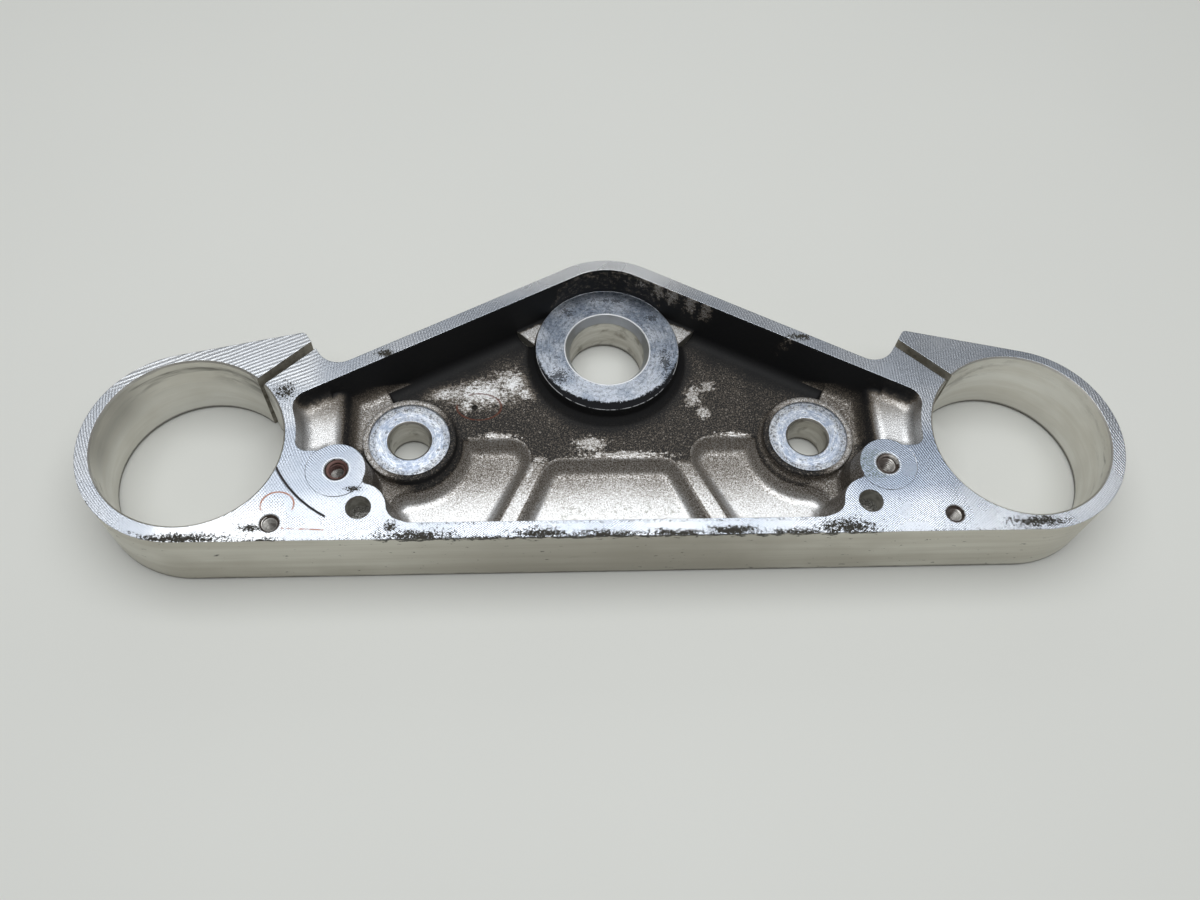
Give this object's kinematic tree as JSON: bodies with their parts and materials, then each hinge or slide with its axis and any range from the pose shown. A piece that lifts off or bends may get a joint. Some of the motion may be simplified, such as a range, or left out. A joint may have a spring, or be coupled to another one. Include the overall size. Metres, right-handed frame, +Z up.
{
  "type": "motorcycle triple clamp",
  "caption": "Motorcycle triple clamp in machined aluminium, with split fork rings, a ribbed pocket, a stem bore and handlebar bosses, lying underside up.",
  "frame": {"origin": "on the steering stem axis, on the flat outer face that the clamp rests on", "axes": "+X along the line of the forks, +Y from the forks towards the stem, +Z up out of the pocket along the stem axis"},
  "size_m": [0.308, 0.0971, 0.0265],
  "materials": {
    "aluminium": "machined and cast"
  },
  "bodies": {
    "root": {"triple_clamp": "aluminium"}
  },
  "joints": []
}
